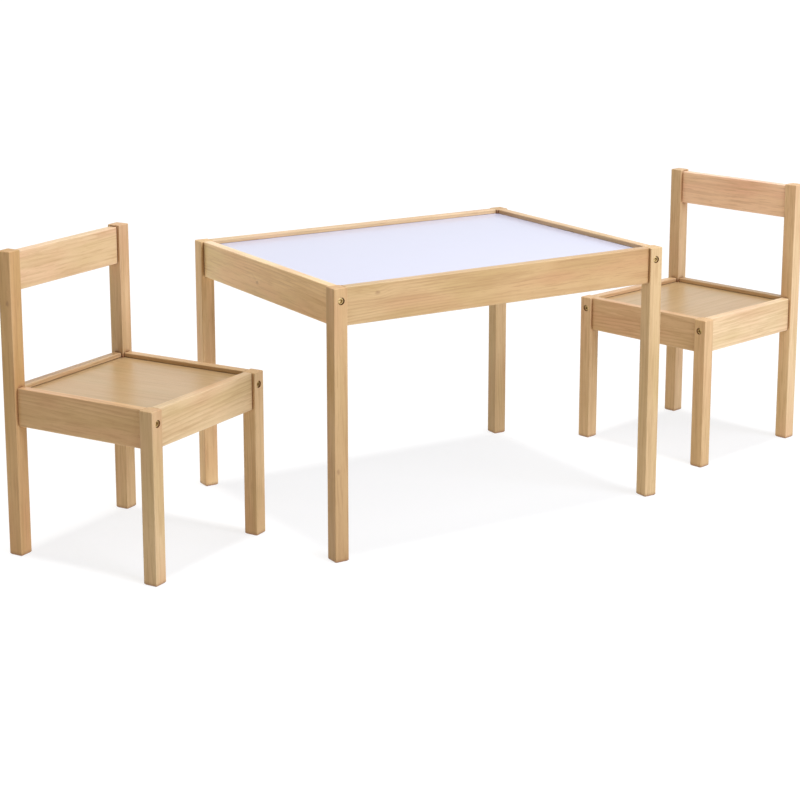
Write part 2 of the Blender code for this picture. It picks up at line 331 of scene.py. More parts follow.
def store_coordinates(mesh: bpy.types.Mesh, grain: Callable[[Vector], Vector]) -> None:
    """Store the wood's coordinates on a mesh that has no edges to wear and no knot.

    Args:
        mesh: The mesh to write on.
        grain: Gives the place in the log for a point of the mesh.
    """
    plain = {"board": (0.0, 0.0, 0.0), "knot": FAR_AWAY, "tint": WHITE}
    for name in ("grain", "board", "knot", "tint"):
        values = mesh.attributes.new(name, "FLOAT_VECTOR", "POINT").data
        for k, vertex in enumerate(mesh.vertices):
            values[k].vector = grain(vertex.co) if name == "grain" else plain[name]


def solid_mesh(name: str, solid: bmesh.types.BMesh) -> bpy.types.Mesh:
    """Turn a solid into a mesh and free it.

    Args:
        name: The mesh's name.
        solid: The solid.

    Returns:
        The mesh.
    """
    mesh = bpy.data.meshes.new(name)
    solid.to_mesh(mesh)
    solid.free()
    return mesh


def ring_loft(levels: list[tuple[float, Outline]]) -> bmesh.types.BMesh:
    """Make a closed solid through outlines with equal numbers of points.

    Args:
        levels: A height and an outline for each ring, from one end to the other.

    Returns:
        The solid, with its faces pointing out.
    """
    solid = bmesh.new()
    rings = [[solid.verts.new((x, y, z)) for x, y in outline] for z, outline in levels]
    count = len(rings[0])
    for low, high in zip(rings, rings[1:]):
        for k in range(count):
            n = (k + 1) % count
            solid.faces.new((low[k], low[n], high[n], high[k]))
    solid.faces.new(reversed(rings[0]))
    solid.faces.new(rings[-1])
    return solid


def circle(radius: float, sides: int) -> Outline:
    """Return the points of a circle round the origin."""
    turn = 2 * math.pi / sides
    return [(radius * math.cos(turn * k), radius * math.sin(turn * k)) for k in range(sides)]


def hexagon(across_flats: float, sides: int) -> Outline:
    """Return a hexagon's points at the angles of a circle's.

    Args:
        across_flats: The distance between two opposite sides of the hexagon.
        sides: The number of points.

    Returns:
        The outline.
    """
    outline = []
    for k in range(sides):
        angle = 2 * math.pi * k / sides
        from_flat = (angle + math.pi / 6) % (math.pi / 3) - math.pi / 6
        radius = across_flats / 2 / math.cos(from_flat)
        outline.append((radius * math.cos(angle), radius * math.sin(angle)))
    return outline


# ---------------------------------------------------------------------------------------- finishes


@dataclass(frozen=True)
class Finish:
    """What every finish has: a name, the record's slot it belongs to, and a shader graph."""

    name: str
    slot: str

    def material(self) -> bpy.types.Material:
        """Make the finish's material on its first use.

        Returns:
            The material.
        """
        found = bpy.data.materials.get(self.name)
        if found:
            return found
        made = bpy.data.materials.new(self.name)
        made.use_nodes = True
        graph = Graph(made.node_tree)
        self.dress(graph, made.node_tree.nodes["Principled BSDF"])
        return made

    def dress(self, graph: Graph, shader: bpy.types.Node) -> None:
        """Build the pattern that drives the shader."""
        raise NotImplementedError

    @staticmethod
    def stored(graph: Graph, name: str) -> Socket:
        """Return a vector that the piece carries at its points."""
        return graph.add("ShaderNodeAttribute", attribute_name=name).outputs["Vector"]


@dataclass(frozen=True)
class WoodFinish(Finish):
    """Solid wood under a thin satin lacquer, patterned from where each board lay in the log.

    A scale is how fine a pattern is across and along the grain, in cycles to the metre. A band is the pair of
    values between which a noise turns from nothing into a full mark.
    """

    early: Colour = (0.650, 0.435, 0.222)
    late: Colour = (0.400, 0.215, 0.082)
    blush: Colour = (0.600, 0.345, 0.175)
    straw: Colour = (0.550, 0.365, 0.160)
    knot: Colour = (0.260, 0.130, 0.055)
    # Painted shade: the dark colour mixed in where a joint encloses a point.
    crevice: Colour = (0.230, 0.085, 0.030)
    bare: Colour = (0.74, 0.56, 0.36)
    ring_spacing: float = 5.2 * MM
    ring_contrast: float = 0.72
    ring_sway: float = 18.0 * MM
    ring_ripple: float = 3.15 * MM
    ring_pinch: float = 6.0 * MM
    sway_scale: Triple = (11.0, 11.0, 2.6)
    ripple_scale: Triple = (60.0, 60.0, 9.0)
    vigour_scale: Triple = (30.0, 30.0, 2.2)
    vigour_band: tuple[float, float] = (0.30, 0.72)
    streak_scale: Triple = (130.0, 130.0, 5.0)
    streak_band: tuple[float, float] = (0.48, 0.66)
    streak_contrast: float = 0.28
    fibre_scale: Triple = (330.0, 330.0, 15.0)
    fibre_band: tuple[float, float] = (0.52, 0.68)
    fibre_contrast: float = 0.36
    pore_scale: Triple = (1300.0, 1300.0, 75.0)
    pore_band: tuple[float, float] = (0.64, 0.76)
    pore_depth: float = 0.24
    patch_scale: Triple = (22.0, 22.0, 5.5)
    patch_band: tuple[float, float] = (0.44, 0.70)
    patch_contrast: float = 0.75
    patch_offsets: tuple[float, float] = (0.0, 5.0)
    knot_scale: Triple = (240.0, 240.0, 150.0)
    knot_depth: float = 0.50
    sawn_depth: float = 0.15
    wear: float = 0.25
    # Painted shade in the joints: how far the occlusion looks, the band of open sky over which it darkens,
    # and how dark it gets.
    crevice_reach: float = 4.0 * MM
    crevice_band: tuple[float, float] = (0.76, 0.46)
    crevice_depth: float = 0.45
    roughness: float = 0.42
    coat: float = 0.12
    coat_roughness: float = 0.28
    refraction: float = 1.46
    bump: float = 0.25
    bump_height: float = 0.15 * MM

    def dress(self, graph: Graph, shader: bpy.types.Node) -> None:
        """Mix growth rings, streaks, fibres, pores, knots, sawn ends and worn edges, then the board's tone
        with its painted light and shade, and painted shade in the joints.

        Args:
            graph: The material's graph.
            shader: Its shader.
        """
        log = self.stored(graph, "grain")
        knot_core, knot_halo = self.knots(graph, self.stored(graph, "knot"))
        rings = self.rings(graph, log, knot_halo)
        streaks = graph.noise(log, self.streak_scale, 4.0)
        fibres = graph.noise(log, self.fibre_scale, 3.0)
        pores = graph.step(graph.noise(log, self.pore_scale, 0.0), *self.pore_band)
        worn, sawn = self.edges(graph, self.stored(graph, "board"))

        colour = self.early
        for tone, apart in zip((self.blush, self.straw), self.patch_offsets):
            colour = graph.mix(colour, tone, self.patches(graph, log, apart))
        for mask, tone, share in (
            (rings, self.late, self.ring_contrast),
            (graph.step(streaks, *self.streak_band), self.late, self.streak_contrast),
            (graph.step(fibres, *self.fibre_band), self.late, self.fibre_contrast),
            (pores, self.late, self.pore_depth),
            (knot_core, self.knot, self.knot_depth),
            (sawn, self.late, self.sawn_depth),
            (worn, self.bare, self.wear),
        ):
            colour = graph.mix(colour, tone, graph.math("MULTIPLY", mask, share))
        # The board's tone, which carries painted light and shade as well as its own colour.
        colour = graph.vector("MULTIPLY", colour, self.stored(graph, "tint"))
        # Painted shade: joints darken towards the dark joint colour by ambient occlusion.
        graph.drive(shader, "Base Color", graph.mix(colour, self.crevice, self.crevices(graph)))

        rough = graph.math("MULTIPLY_ADD", streaks, 0.16, self.roughness - 0.08)
        graph.drive(shader, "Roughness", graph.math("MULTIPLY_ADD", sawn, 0.22, rough))
        graph.drive(shader, "Coat Weight", self.coat)
        graph.drive(shader, "Coat Roughness", self.coat_roughness)
        graph.drive(shader, "IOR", self.refraction)

        height = graph.math("MULTIPLY_ADD", fibres, 0.5, graph.math("MULTIPLY", pores, -0.6))
        height = graph.math("MULTIPLY_ADD", rings, 0.25, height)
        graph.relief(shader, height, self.bump, self.bump_height)

    def rings(self, graph: Graph, log: Socket, halo: Socket) -> Socket:
        """Draw the growth rings, sharpest at the end of each year's growth.

        Args:
            graph: The material's graph.
            log: The place in the log.
            halo: How near a knot is, which bends the rings.

        Returns:
            0 in early wood and 1 in the last of the late wood.
        """
        radius = graph.vector("LENGTH", graph.vector("MULTIPLY", log, (1.0, 1.0, 0.0)), out="Value")
        for bend, reach in (
            (graph.noise(log, self.sway_scale, 1.0), self.ring_sway),
            (graph.noise(log, self.ripple_scale, 2.0), self.ring_ripple),
            (halo, self.ring_pinch),
        ):
            radius = graph.math("MULTIPLY_ADD", bend, reach, radius)
        year = graph.math("FRACT", graph.math("DIVIDE", radius, self.ring_spacing))
        rise = graph.math("POWER", year, 2.2)
        fall = graph.step(year, 1.0, 0.84)
        vigour = graph.step(graph.noise(log, self.vigour_scale, 2.0), *self.vigour_band)
        return graph.math("MULTIPLY", graph.math("MULTIPLY", rise, fall), vigour)

    def knots(self, graph: Graph, away: Socket) -> tuple[Socket, Socket]:
        """Draw a knot's dark core and the wider halo that bends the rings round it.

        Args:
            graph: The material's graph.
            away: The way from the knot's middle.

        Returns:
            The masks of the core and of the halo.
        """
        shaped = graph.vector("MULTIPLY", away, self.knot_scale)
        distance = graph.vector("LENGTH", shaped, out="Value")
        distance = graph.math("MULTIPLY_ADD", graph.clouds(shaped, 1.3, 2.0), 0.7, distance)
        return graph.step(distance, 1.35, 0.55), graph.step(distance, 5.0, 0.6)

    def patches(self, graph: Graph, log: Socket, apart: float) -> Socket:
        """Draw long soft patches of another tone.

        Args:
            graph: The material's graph.
            log: The place in the log.
            apart: How far this tone's noise lies from its neighbours'.

        Returns:
            The mask of the patches.
        """
        moved = graph.vector("ADD", log, (apart, 0.0, 0.0))
        patch = graph.step(graph.noise(moved, self.patch_scale, 2.0), *self.patch_band)
        return graph.math("MULTIPLY", patch, self.patch_contrast)

    @staticmethod
    def edges(graph: Graph, board: Socket) -> tuple[Socket, Socket]:
        """Find the long edges and the ends of a board.

        Args:
            graph: The material's graph.
            board: The place in the board, from -1 to 1 along each of its sides.

        Returns:
            The masks of the worn edges and of the sawn ends.
        """
        x, y, z = graph.split(graph.vector("ABSOLUTE", board))
        worn = graph.step(graph.math("MINIMUM", x, y), 0.90, 0.985)
        return worn, graph.step(z, 0.9985, 0.9995)

    def crevices(self, graph: Graph) -> Socket:
        """Paint shade where a joint encloses a point, read from an ambient-occlusion node.

        Args:
            graph: The material's graph.

        Returns:
            How much painted shade a point gets, from how deep in a joint it lies.
        """
        reach = {"Distance": self.crevice_reach}
        open_sky = graph.add("ShaderNodeAmbientOcclusion", reach, samples=8).outputs["AO"]
        return graph.math("MULTIPLY", graph.step(open_sky, *self.crevice_band), self.crevice_depth)


@dataclass(frozen=True)
class LaminateFinish(Finish):
    """Smooth white laminate with a faint mottle and very fine wear marks."""

    base: Colour = (0.560, 0.565, 0.690)
    shade: Colour = (0.543, 0.549, 0.673)
    roughness: float = 0.20
    mottle_scale: Triple = (9.0, 9.0, 9.0)
    peel_scale: Triple = (420.0, 420.0, 420.0)
    mark_scale: Triple = (900.0, 60.0, 25.0)

    def dress(self, graph: Graph, shader: bpy.types.Node) -> None:
        """Mix the mottle into the colour, and roughness and relief from finer noise.

        Args:
            graph: The material's graph.
            shader: Its shader.
        """
        sheet = self.stored(graph, "grain")
        mottle = graph.noise(sheet, self.mottle_scale, 3.0)
        marks = graph.step(graph.noise(sheet, self.mark_scale, 2.0), 0.55, 0.80)
        graph.drive(shader, "Base Color", graph.mix(self.base, self.shade, mottle))
        rough = graph.math("MULTIPLY_ADD", marks, 0.02, self.roughness)
        graph.drive(shader, "Roughness", graph.math("MULTIPLY_ADD", mottle, 0.06, rough))
        graph.relief(shader, graph.noise(sheet, self.peel_scale, 2.0), 0.03, 0.05 * MM)


@dataclass(frozen=True)
class PlatedFinish(Finish):
    """Zinc-plated steel with a slightly uneven passivated colour and fine turning marks."""

    base: Colour = (0.64, 0.48, 0.24)
    tarnish: Colour = (0.30, 0.20, 0.08)
    roughness: float = 0.34

    def dress(self, graph: Graph, shader: bpy.types.Node) -> None:
        """Mix the plating's two tones and roughen it where it is dull.

        Args:
            graph: The material's graph.
            shader: Its shader.
        """
        place = graph.add("ShaderNodeTexCoord").outputs["Object"]
        dull = graph.step(graph.clouds(place, 420.0, 3.0), 0.35, 0.70)
        graph.drive(shader, "Base Color", graph.mix(self.base, self.tarnish, dull))
        graph.drive(shader, "Roughness", graph.math("MULTIPLY_ADD", dull, 0.16, self.roughness))
        graph.drive(shader, "Metallic", 1.0)
        graph.relief(shader, graph.clouds(place, 3800.0, 1.0), 0.12, 0.03 * MM)


# The legs get a wider and darker painted shade in their joints than the rails.
LEG_WOOD = WoodFinish("leg_timber", "leg_wood", ring_spacing=4.4 * MM, ring_contrast=0.40,
                      crevice_reach=14.0 * MM, crevice_depth=0.95)
RAIL_WOOD = WoodFinish("rail_timber", "rail_wood")
SEAT_VENEER = WoodFinish("seat_veneer", "seat_panel_wood", early=(0.440, 0.290, 0.140),
                         late=(0.310, 0.190, 0.082), blush=(0.420, 0.265, 0.122), straw=(0.390, 0.268, 0.122),
                         ring_contrast=0.10, streak_contrast=0.22, fibre_contrast=0.40, pore_depth=0.35,
                         roughness=0.36)
DOWEL_WOOD = WoodFinish("dowel_timber", "rail_wood", ring_contrast=0.25)
WHITE_LAMINATE = LaminateFinish("white_laminate", "top_panel_white")
YELLOW_ZINC = PlatedFinish("yellow_zinc", "bolt_metal")
BRIGHT_ZINC = PlatedFinish("bright_zinc", "nut_metal", base=(0.72, 0.72, 0.70), tarnish=(0.52, 0.51, 0.49))


# ----------------------------------------------------------------------------------------- shapes


class EasedBar(ShapeTree):
    """A bar with rounded long edges and eased ends, cut by its joints, with its grain coordinates."""

    CORNER_STEPS = 5

    def __init__(self) -> None:
        """Build the tree: sweep a rounded section, place it, cut it and store its coordinates."""
        super().__init__("eased_bar")
        thick, wide, length, edge, foot, top = self.sizes(
            "Thickness", "Width", "Length", "Edge Radius", "Foot Chamfer", "Top Ease")
        place, turn, heart, lean, knot, tint, first_tone_and_light = self.vectors(
            "Place", "Turn", "Heart", "Lean", "Knot", "Tint", "First End Tint")
        joinery = self.need("Joinery", "NodeSocketObject")

        bar = self.sweep((thick, wide, length), edge, foot, top)
        placed = self.add("GeometryNodeTransform",
                          {"Geometry": bar, "Translation": place, "Rotation": self.turned(turn)})
        cutter = self.add("GeometryNodeObjectInfo", {"Object": joinery}, transform_space="ORIGINAL")
        shape = self.add("GeometryNodeMeshBoolean", {"Mesh 1": placed.outputs[0],
                                                     "Mesh 2": cutter.outputs["Geometry"],
                                                     "Self Intersection": True},
                         operation="DIFFERENCE", solver="EXACT").outputs[0]

        point = self.add("GeometryNodeInputPosition").outputs[0]
        local = self.swung(self.vector("SUBTRACT", point, place), turn, invert=True)
        x, y, z = (self.math("MULTIPLY", size, 0.5) for size in (thick, wide, length))
        board = self.vector("DIVIDE", local, self.join(X=x, Y=y, Z=z))
        along = self.math("MULTIPLY_ADD", self.split(board)[2], 0.5, 0.5)
        # The tone runs from the first end's to the other end's, with painted light and shade in both.
        tone = self.vector("MULTIPLY_ADD", self.vector("SUBTRACT", tint, first_tone_and_light), along, first_tone_and_light)
        for name, value in (("grain", self.vector("ADD", self.swung(local, lean), heart)),
                            ("board", board),
                            ("knot", self.vector("SUBTRACT", local, knot)),
                            ("tint", tone)):
            shape = self.add("GeometryNodeStoreNamedAttribute",
                             {"Geometry": shape, "Name": name, "Value": value},
                             data_type="FLOAT_VECTOR", domain="POINT").outputs[0]
        self.close(shape)

    def swung(self, point: Socket, angles: Socket, invert: bool = False) -> Socket:
        """Return a point turned about the origin by three angles, or back by them."""
        return self.add("ShaderNodeVectorRotate", {"Vector": point, "Rotation": angles},
                        rotation_type="EULER_XYZ", invert=invert).outputs[0]

    def sweep(self, size: tuple[Socket, Socket, Socket], edge: Socket, foot: Socket, top: Socket) -> Socket:
        """Sweep the rounded section up the bar, drawn in a little at both ends.

        Args:
            size: The bar's thickness, width and length.
            edge: The radius of its long edges.
            foot: How far its first end is drawn in.
            top: How far its other end is drawn in.

        Returns:
            The bar, upright round the origin.
        """
        thick, wide, length = size
        section = self.add("GeometryNodeCurvePrimitiveQuadrilateral", {"Width": thick, "Height": wide})
        rounded = self.add("GeometryNodeFilletCurve", {"Curve": section.outputs[0],
                                                       "Count": self.CORNER_STEPS,
                                                       "Radius": edge}, mode="POLY")
        line = self.add("GeometryNodeCurvePrimitiveLine").outputs[0]
        spine = self.add("GeometryNodeResampleCurve", {"Curve": line, "Count": 4}).outputs[0]
        half = self.math("MULTIPLY", length, 0.5)
        low = self.math("MULTIPLY", half, -1.0)
        heights = self.by_index(low, self.math("ADD", low, foot), self.math("SUBTRACT", half, top), half)
        draws = self.by_index(self.drawn_in(foot, wide), 1.0, 1.0, self.drawn_in(top, wide))
        placed = self.add("GeometryNodeSetPosition", {"Geometry": spine, "Position": self.join(Z=heights)})
        return self.add("GeometryNodeCurveToMesh", {"Curve": placed.outputs[0],
                                                    "Profile Curve": rounded.outputs[0],
                                                    "Scale": draws, "Fill Caps": True}).outputs[0]

    def drawn_in(self, ease: Socket, wide: Socket) -> Socket:
        """Return the scale of an end section that is drawn in by its ease on every side."""
        share = self.math("DIVIDE", self.math("MULTIPLY", ease, 2.0), wide)
        return self.math("SUBTRACT", 1.0, share)

    def by_index(self, *values: Socket | float) -> Socket:
        """Give each point of the spine its own value.

        Args:
            *values: The values, in the points' order.

        Returns:
            The value at the point in hand.
        """
        node = self.add("GeometryNodeIndexSwitch", data_type="FLOAT")
        for _ in values[2:]:
            node.index_switch_items.new()
        self.drive(node, "Index", self.add("GeometryNodeInputIndex").outputs[0])
        for k, value in enumerate(values):
            self.drive(node, k + 1, value)
        return node.outputs[0]


class CornerFasteners(ShapeTree):
    """One fastener at each of four corners, turned to face its own side."""

    SEED = 7

    def __init__(self) -> None:
        """Build the tree: a two by two grid of points, each with a copy of the fastener."""
        super().__init__("corner_fasteners")
        across, along, height, spin = self.sizes("Across", "Along", "Height", "Spin")
        turn, side = self.vectors("Turn", "Side")
        fastener = self.need("Fastener", "NodeSocketObject")
        raised = self.add("GeometryNodeTransform", {"Geometry": self.corners(across, along),
                                                    "Translation": self.join(Z=height)})
        point = self.add("GeometryNodeInputPosition").outputs[0]
        sign = self.math("SIGN", self.vector("DOT_PRODUCT", point, side, out="Value"))
        facing = self.vector("SCALE", turn)
        self.drive(facing.node, "Scale", sign)
        random = self.add("FunctionNodeRandomValue", {"Seed": self.SEED}, data_type="FLOAT")
        own = self.turned(self.join(Z=self.math("MULTIPLY", random.outputs[1], spin)))
        rotation = self.add("FunctionNodeRotateRotation", {0: self.turned(facing), 1: own},
                            rotation_space="LOCAL").outputs[0]
        info = self.add("GeometryNodeObjectInfo", {"Object": fastener}, transform_space="ORIGINAL")
        self.close(self.copies(raised.outputs[0], info.outputs["Geometry"], Rotation=rotation))


class DowelRows(ShapeTree):
    """Fluted dowels, a short column of them at each corner of a frame."""

    FLUTES = 12

    def __init__(self) -> None:
        """Build the tree: corners, a column of points at each, and a dowel on every point."""
        super().__init__("dowel_rows")
        across, along, top, pitch, radius, flute, length = self.sizes(
            "Across", "Along", "Top", "Pitch", "Radius", "Flute Depth", "Length")
        middle, turn = self.vectors("Middle", "Turn")
        count = self.need("Count", "NodeSocketInt")
        column = self.add("GeometryNodeMeshLine", {"Count": count, "Start Location": self.join(Z=top),
                                                   "Offset": self.join(Z=self.math("MULTIPLY", pitch, -1.0))})
        points = self.copies(self.corners(across, along), column.outputs[0])
        real = self.add("GeometryNodeRealizeInstances", {0: points})
        moved = self.add("GeometryNodeTransform", {"Geometry": real.outputs[0], "Translation": middle})
        star = self.add("GeometryNodeCurveStar", {"Points": self.FLUTES,
                                                  "Inner Radius": self.math("SUBTRACT", radius, flute),
                                                  "Outer Radius": radius})
        half = self.math("MULTIPLY", length, 0.5)
        axis = self.add("GeometryNodeCurvePrimitiveLine", {
            "Start": self.join(Z=self.math("MULTIPLY", half, -1.0)), "End": self.join(Z=half)})
        dowel = self.add("GeometryNodeCurveToMesh", {"Curve": axis.outputs[0],
                                                     "Profile Curve": star.outputs[0], "Fill Caps": True})
        self.close(self.copies(moved.outputs[0], dowel.outputs[0], Rotation=self.turned(turn)))


@dataclass
class Workshop:
    """The shared node trees and fasteners that every piece of furniture is made with."""

    bolt_sides: int = 48
    bolt_radius: float = 3.0 * MM
    head_radius: float = 5.0 * MM
    head_edge: float = 0.7 * MM
    socket_across_flats: float = 5.0 * MM
    socket_depth: float = 3.2 * MM
    nut_radius: float = 5.0 * MM
    nut_length: float = 11.0 * MM
    slot_width: float = 1.2 * MM
    slot_depth: float = 1.6 * MM
    hole_play: float = 0.3 * MM
    bar: EasedBar = field(default_factory=EasedBar)
    fasteners: CornerFasteners = field(default_factory=CornerFasteners)
    dowels: DowelRows = field(default_factory=DowelRows)

    def bolt(self, head_height: float, shank: float) -> bpy.types.Object:
        """Turn a socket-head bolt with the top of its head at the origin.

        Args:
            head_height: Height of the head.
            shank: Length below the head.

        Returns:
            A helper object that holds the bolt.
        """
        n = self.bolt_sides
        ease = self.head_edge
        tip = -head_height - shank
        rim = self.socket_across_flats / 2 + 0.35 * MM
        hexed = hexagon(self.socket_across_flats, n)
        levels = [
            (tip, circle(self.bolt_radius - ease, n)),
            (tip + ease, circle(self.bolt_radius, n)),
            (-head_height, circle(self.bolt_radius, n)),
            (-head_height, circle(self.head_radius - ease / 3, n)),
            (-head_height + ease / 3, circle(self.head_radius, n)),
            (-ease, circle(self.head_radius, n)),
            (-ease * 0.3, circle(self.head_radius - ease * 0.3, n)),
            (0.0, circle(self.head_radius - ease, n)),
            (0.0, circle(rim, n)),
            (-0.3 * MM, hexed),
            (-self.socket_depth, hexed),
            (-self.socket_depth - 0.6 * MM, circle(self.socket_across_flats / 8, n)),
        ]
        return self.helper("bolt", ring_loft(levels))

    def nut(self) -> bpy.types.Object:
        """Turn a slotted barrel nut along Y, with its cross hole along X.

        Returns:
            A helper object that holds the nut.
        """
        n = self.bolt_sides // 2
        half = self.nut_length / 2
        ease = self.head_edge / 2
        body = ring_loft([
            (-half, circle(self.nut_radius - ease, n)),
            (-half + ease, circle(self.nut_radius, n)),
            (half - ease, circle(self.nut_radius, n)),
            (half, circle(self.nut_radius - ease, n)),
        ])
        body.transform(Matrix.Rotation(-math.pi / 2, 4, "X"))
        piece = self.helper("nut", body)
        reach = self.nut_radius + MM
        hole = ring_loft([(z, circle(self.bolt_radius + self.hole_play, n)) for z in (-reach, reach)])
        hole.transform(Matrix.Rotation(math.pi / 2, 4, "Y"))
        w, d = self.slot_width / 2, self.slot_depth
        slot = ring_loft([(z, [(-w, -d), (w, -d), (w, d), (-w, d)]) for z in (-reach, reach)])
        slot.transform(Matrix.Translation((0.0, half, 0.0)))
        for cutter in (self.helper("hole", hole), self.helper("slot", slot)):
            cut = piece.modifiers.new("cut", "BOOLEAN")
            cut.object = cutter
            cut.solver = "EXACT"
            mesh = evaluated_mesh(piece)
            piece.modifiers.clear()
            old = piece.data
            piece.data = mesh
            bpy.data.meshes.remove(old)
            remove_object(cutter)
        return piece

    @staticmethod
    def helper(name: str, solid: bmesh.types.BMesh) -> bpy.types.Object:
        """Keep a solid as an object that other shapes are made from."""
        return add_object(name, solid_mesh(name, solid))


# -------------------------------------------------------------------------------------- furniture


@dataclass(frozen=True)
class Board:
    """How one board was cut from its log, and its colour with painted light and shade in it.

    The heart is the tree's middle, seen from the board's own middle. The lean tilts the board against the
    log, which draws the arches of flat-sawn faces. A knot is placed from the board's middle. The board's tone
    is its own colour against its neighbours with painted light and shade in it, set to how brightly that
    board is lit, and the fade beside it is painted light and shade that changes that tone towards its foot or
    first end.
    """

    heart: tuple[float, float]
    lean: tuple[float, float]
    knot: tuple[float, float, float] | None = None
    tint: Colour = WHITE
    fade: Colour = WHITE

    @classmethod
    def plain(cls, number: int) -> "Board":
        """Return an ordinary board, cut a little differently for each number.

        Args:
            number: The board's place in the pile.

        Returns:
            A board without a knot.
        """
        turn = 2.4 * number
        reach = 0.040 + 0.016 * math.sin(1.7 * number)
        tone = 1.0 + 0.05 * math.sin(5.1 * number)
        return cls((reach * math.cos(turn), reach * math.sin(turn)),
                   (0.03 * math.sin(3.3 * number), 0.03 * math.cos(2.1 * number)), tint=(tone, tone, tone))


@dataclass
class Furniture:
    """A square-legged frame with set-back rails and a panel in a groove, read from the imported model."""

    shop: Workshop
    name: str
    boards: dict[str, Board]
    panel_node: str
    panel_finish: Finish
    heading: float = -math.pi / 2
    leg_edge: float = 1.5 * MM
    foot_chamfer: float = 1.8 * MM
    top_ease: float = 0.8 * MM
    rail_edge: float = 1.3 * MM
    end_ease: float = 0.25 * MM
    gap: float = 0.3 * MM
    groove_play: float = 0.5 * MM
    groove_headroom: float = 0.4 * MM
    dowel_radius: float = 3.0 * MM
    dowel_reach: float = 11.7 * MM
    flute_depth: float = 0.3 * MM
    glued_drops: tuple[float, float] = (28.0 * MM, 48.0 * MM)
    locating_drop: float = 38.0 * MM
    bore_play: float = 0.8 * MM
    sharp_angle: float = math.radians(40.0)
    made: list[bpy.types.Object] = field(default_factory=list)
    cutter: bpy.types.Object | None = None
    head_height: float = 6.0 * MM
    arris: float = 0.25 * MM
    veneer_lean: Triple = (0.012, 0.02, 0.0)
    veneer_depth: float = 0.11
    log_number: int = 0

    def __post_init__(self) -> None:
        """Find the piece's place from its panel and its legs."""
        low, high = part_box(self.panel_node)
        middle = (low + high) / 2
        turn = Matrix.Rotation(self.heading + math.pi / 2, 4, "Z")
        self.placement = Matrix.Translation((middle.x, middle.y, 0.0)) @ turn
        self.inverse = self.placement.inverted()

    # Sizes, all in the furniture's own axes.

    def local_box(self, node: str) -> tuple[Vector, Vector]:
        """Measure a CAD node in the furniture's own axes.

        Args:
            node: The node's name.

        Returns:
            Its lowest and highest corners.
        """
        points = [self.inverse @ v.co for v in frame["nodes"][node].data.vertices]
        low = Vector(min(p[k] for p in points) for k in range(3))
        high = Vector(max(p[k] for p in points) for k in range(3))
        return low, high

    def leg_node(self, corner: Corner) -> str:
        """Return the name of the leg at a corner."""
        return f"{self.name}_leg_{corner.word}"

    def inner_corner(self) -> Vector:
        """Return the inner corner of the back right leg, on the floor."""
        low, _ = self.local_box(self.leg_node(Corner.BACK_RIGHT))
        return Vector((low.x, low.y, 0.0))

    def middle_of(self, node: str) -> Vector:
        """Return the middle of a CAD node in the furniture's own axes."""
        low, high = self.local_box(node)
        return (low + high) / 2

    def frame_top(self) -> float:
        """Return the height of the top of the rails."""
        return self.local_box(f"{self.name}_rail_front")[1].z

    # Finishing and bookkeeping.

    def keep(self, name: str, mesh: bpy.types.Mesh, finish: Finish, *nodes: str) -> bpy.types.Object:
        """Place a mesh in the world, shade it, attach it to its body and hide the CAD nodes that it stands
        for.

        Args:
            name: The finished piece's name.
            mesh: Its mesh, in the furniture's own axes.
            finish: The finish that gives its material when the mesh has none.
            *nodes: The CAD nodes that it stands for.

        Returns:
            The finished piece.
        """
        mesh.shade_smooth()
        mesh.set_sharp_from_angle(angle=self.sharp_angle)
        rough = add_object(name + "_rough", mesh)
        weight = rough.modifiers.new("even_flats", "WEIGHTED_NORMAL")
        weight.keep_sharp = True
        even = evaluated_mesh(rough)
        remove_object(rough)
        even.transform(self.placement)
        even.name = name
        piece = add_object(name, even)
        if not even.materials:
            even.materials.append(finish.material())
        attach(piece, self.name)
        if nodes:
            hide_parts(*nodes)
        self.made.append(piece)
        LOG.info("%s: %d faces", name, len(even.polygons))
        return piece

    # Joints.

    def dowel_sets(self) -> list[tuple[str, dict]]:
        """Work out where the dowels are.

        Returns:
            The name and the tree inputs of each set, without its radius, flutes, length and finish.
        """
        inner = self.inner_corner()
        rail_y = self.middle_of(f"{self.name}_rail_back").y
        rail_x = self.middle_of(f"{self.name}_rail_right").x
        top = self.frame_top()
        across = {"Across": 2 * inner.x, "Along": 2 * rail_y, "Top": top - self.glued_drops[0],
                  "Pitch": self.glued_drops[1] - self.glued_drops[0], "Count": 2,
                  "Middle": (0.0, 0.0, 0.0), "Turn": (0.0, math.pi / 2, 0.0)}
        along = {"Across": 2 * rail_x, "Along": 2 * inner.y, "Top": top - self.locating_drop,
                 "Pitch": 0.0, "Count": 1,
                 "Middle": (0.0, 0.0, 0.0), "Turn": (math.pi / 2, 0.0, 0.0)}
        return [("glued_dowels", across), ("locating_dowels", along)]

    def joinery(self) -> bpy.types.Object:
        """Gather everything that passes through the timber, with its clearance, as one cutter.

        Returns:
            A helper object in the furniture's own axes.
        """
        whole = bmesh.new()
        for name, values in self.dowel_sets():
            mesh = self.shop.dowels.run(name, {
                **values, "Radius": self.dowel_radius + self.gap, "Flute Depth": 0.0,
                "Length": 2 * (self.dowel_reach + 2 * self.gap), "Finish": None})
            whole.from_mesh(mesh)
            bpy.data.meshes.remove(mesh)
        for corner in Corner:
            self.bore(whole, corner)
        self.groove(whole)
        return self.shop.helper(f"{self.name}_joinery", whole)

